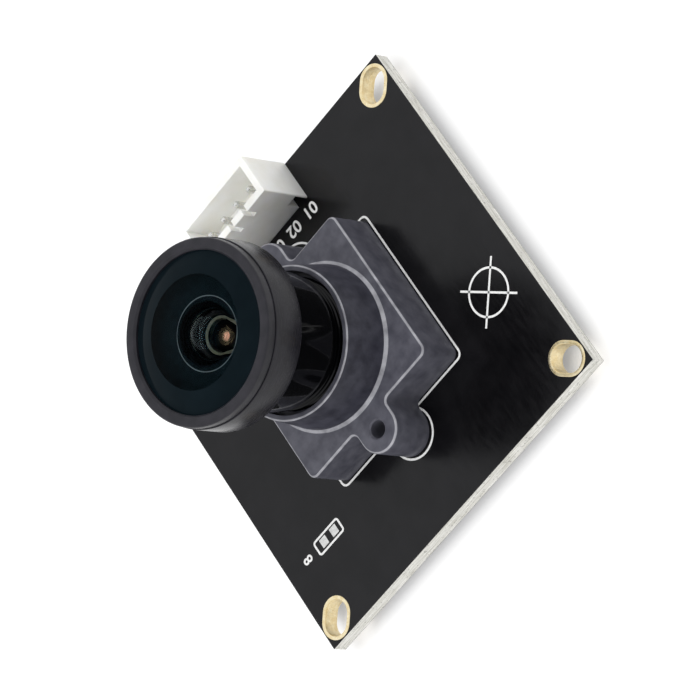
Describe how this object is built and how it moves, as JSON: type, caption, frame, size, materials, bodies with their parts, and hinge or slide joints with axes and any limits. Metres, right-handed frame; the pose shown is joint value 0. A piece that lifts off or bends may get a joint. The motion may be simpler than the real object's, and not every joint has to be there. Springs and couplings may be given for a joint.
{
  "type": "board camera module",
  "caption": "Square circuit board with slotted corners, a plastic lens holder, a screw-in wide-angle lens with a mushroom head, and a cable header at one edge.",
  "frame": {"origin": "centre of the four corner slots, on the board's back face, which sits on the stand-offs", "axes": "+Z along the lens axis towards the scene; the cable header stands at the board's edge on the -Y side"},
  "size_m": [0.038, 0.0382, 0.0253],
  "materials": {
    "solder_mask": "black solder mask on glass-fibre board",
    "gold": "gold plating",
    "holder_plastic": "dark grey moulded plastic",
    "screw_steel": "zinc-plated steel",
    "sensor_ceramic": "dark ceramic",
    "silicon": "polished silicon",
    "clear_glass": "polished",
    "filter_glass": "coated",
    "coated_glass": "polished and coated",
    "header_nylon": "cream nylon",
    "tinned_metal": "bright tin",
    "chip_epoxy": "moulded epoxy",
    "crystal_lid": "drawn lid on a ceramic base",
    "ferrite": "ferrite",
    "copper": "enamelled copper",
    "capacitor_ceramic": "fired ceramic",
    "resistor_ceramic": "glazed",
    "black_anodised": "glossy black anodised",
    "grey_anodised": "satin dark grey anodised",
    "stop_black": "matte black"
  },
  "bodies": {
    "module": {"circuit_board": "solder_mask", "corner_plating": "gold", "lens_holder": "holder_plastic", "holder_screws": "screw_steel", "sensor_package": "sensor_ceramic", "sensor_die": "silicon", "sensor_glass": "clear_glass", "infrared_filter": "filter_glass", "header_housing": "header_nylon", "header_pins": "tinned_metal", "header_solder": "tinned_metal", "front_pads": "tinned_metal", "controller_chip": "chip_epoxy", "controller_leads": "tinned_metal", "flash_chip": "chip_epoxy", "flash_leads": "tinned_metal", "regulator_chips": "chip_epoxy", "regulator_leads": "tinned_metal", "crystal": "crystal_lid", "inductor_core": "ferrite", "inductor_winding": "copper", "chip_capacitors": "capacitor_ceramic", "chip_resistors": "resistor_ceramic", "chip_end_caps": "tinned_metal"},
    "stop": {"aperture_stop": "stop_black"},
    "lens": {"lens_barrel": "black_anodised", "front_ring": "grey_anodised", "front_glass": "coated_glass", "inner_ring": "black_anodised", "second_glass": "coated_glass", "front_spacer": "black_anodised", "third_glass": "clear_glass", "rear_spacer": "black_anodised", "pair_front_glass": "clear_glass", "pair_rear_glass": "clear_glass", "rear_retainer": "black_anodised"}
  },
  "joints": [
    {"name": "focus_travel", "type": "slide", "parent": "module", "child": "stop", "axis": [0, 0, 1], "range_m": [-0.0005, 0.0005]},
    {"name": "focus_turn", "type": "hinge", "parent": "stop", "child": "lens", "pos_m": [0, 0, 0.0109], "axis": [0, 0, 1], "range_deg": [-360, 360]}
  ],
  "couplings": [
    {"joint": "focus_turn", "follows": "focus_travel", "rad_per_m": 12566}
  ]
}
